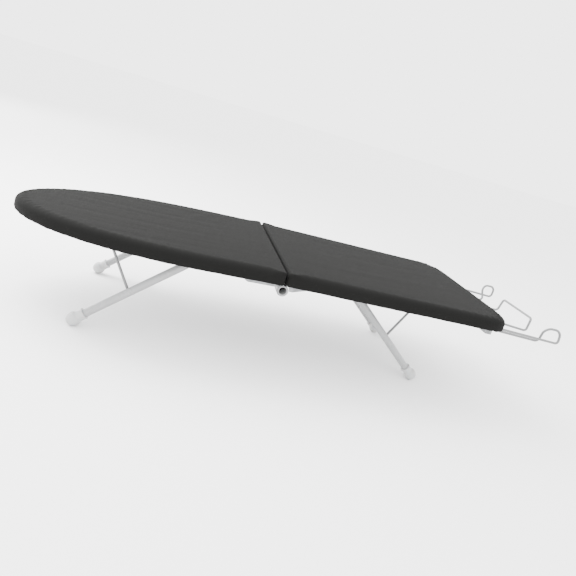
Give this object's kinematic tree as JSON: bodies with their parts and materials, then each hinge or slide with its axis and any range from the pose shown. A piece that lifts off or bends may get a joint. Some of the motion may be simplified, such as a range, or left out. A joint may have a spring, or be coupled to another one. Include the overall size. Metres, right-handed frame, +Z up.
{
  "type": "folding tabletop ironing board",
  "caption": "Low ironing board that folds in half at a cross hinge, with folding tube legs, wire braces and a pull-out wire iron rest.",
  "frame": {"origin": "on the table under the middle of the open board's bounding box", "axes": "+X along the board from the nose to the iron rest, +Y across the board, +Z up"},
  "size_m": [0.9935, 0.33, 0.171],
  "materials": {
    "cover_cloth": "woven, matt, with a slight metallic sheen",
    "felt": "felt",
    "deck_paint": "satin powder coat",
    "tube_paint": "satin powder coat",
    "wire_paint": "satin powder coat",
    "zinc": "zinc plated",
    "cap_plastic": "moulded"
  },
  "bodies": {
    "square_half": {"square_deck": "deck_paint", "square_rim": "deck_paint", "square_pad": "felt", "square_cover": "cover_cloth", "square_leaf_near": "zinc", "square_leaf_far": "zinc", "hinge_tube": "tube_paint", "rear_leg_clips": "zinc", "rear_brace_guides": "zinc", "rest_clip_near": "zinc", "rest_clip_far": "zinc", "square_rivets": "zinc"},
    "rear_legs": {"rear_leg": "tube_paint", "rear_foot_near": "cap_plastic", "rear_foot_far": "cap_plastic"},
    "rear_brace": {"rear_brace": "wire_paint"},
    "rest": {"iron_rest": "wire_paint"},
    "nose_half": {"nose_deck": "deck_paint", "nose_rim": "deck_paint", "nose_pad": "felt", "nose_cover": "cover_cloth", "nose_leaf_near": "zinc", "nose_leaf_far": "zinc", "front_leg_clips": "zinc", "front_brace_guides": "zinc", "nose_rivets": "zinc"},
    "front_legs": {"front_leg": "tube_paint", "front_foot_near": "cap_plastic", "front_foot_far": "cap_plastic"},
    "front_brace": {"front_brace": "wire_paint"}
  },
  "joints": [
    {"name": "board_fold", "type": "hinge", "parent": "square_half", "child": "nose_half", "pos_m": [-0.0663, 0, 0.1385], "axis": [0, -1, 0], "range_deg": [0, 176]},
    {"name": "front_leg_fold", "type": "hinge", "parent": "nose_half", "child": "front_legs", "pos_m": [-0.20455, 0, 0.14638], "axis": [0, 1, 0], "range_deg": [0, 34.28]},
    {"name": "front_brace_swing", "type": "hinge", "parent": "front_legs", "child": "front_brace", "pos_m": [-0.29493, 0, 0.07051], "axis": [0, -1, 0], "range_deg": [0, 95.3]},
    {"name": "rear_leg_fold", "type": "hinge", "parent": "square_half", "child": "rear_legs", "pos_m": [0.0667, 0, 0.15], "axis": [0, -1, 0], "range_deg": [0, 40.25]},
    {"name": "rear_brace_swing", "type": "hinge", "parent": "rear_legs", "child": "rear_brace", "pos_m": [0.1619, 0, 0.07054], "axis": [0, 1, 0], "range_deg": [0, 93.43]},
    {"name": "rest_slide", "type": "slide", "parent": "square_half", "child": "rest", "axis": [-0.9992, 0, 0.04], "range_m": [0, 0.025]}
  ],
  "couplings": [
    {"joint": "front_leg_fold", "follows": "board_fold", "ratio": 0.19476},
    {"joint": "front_brace_swing", "follows": "board_fold", "ratio": 0.54146},
    {"joint": "rear_leg_fold", "follows": "board_fold", "ratio": 0.22868},
    {"joint": "rear_brace_swing", "follows": "board_fold", "ratio": 0.53082}
  ]
}
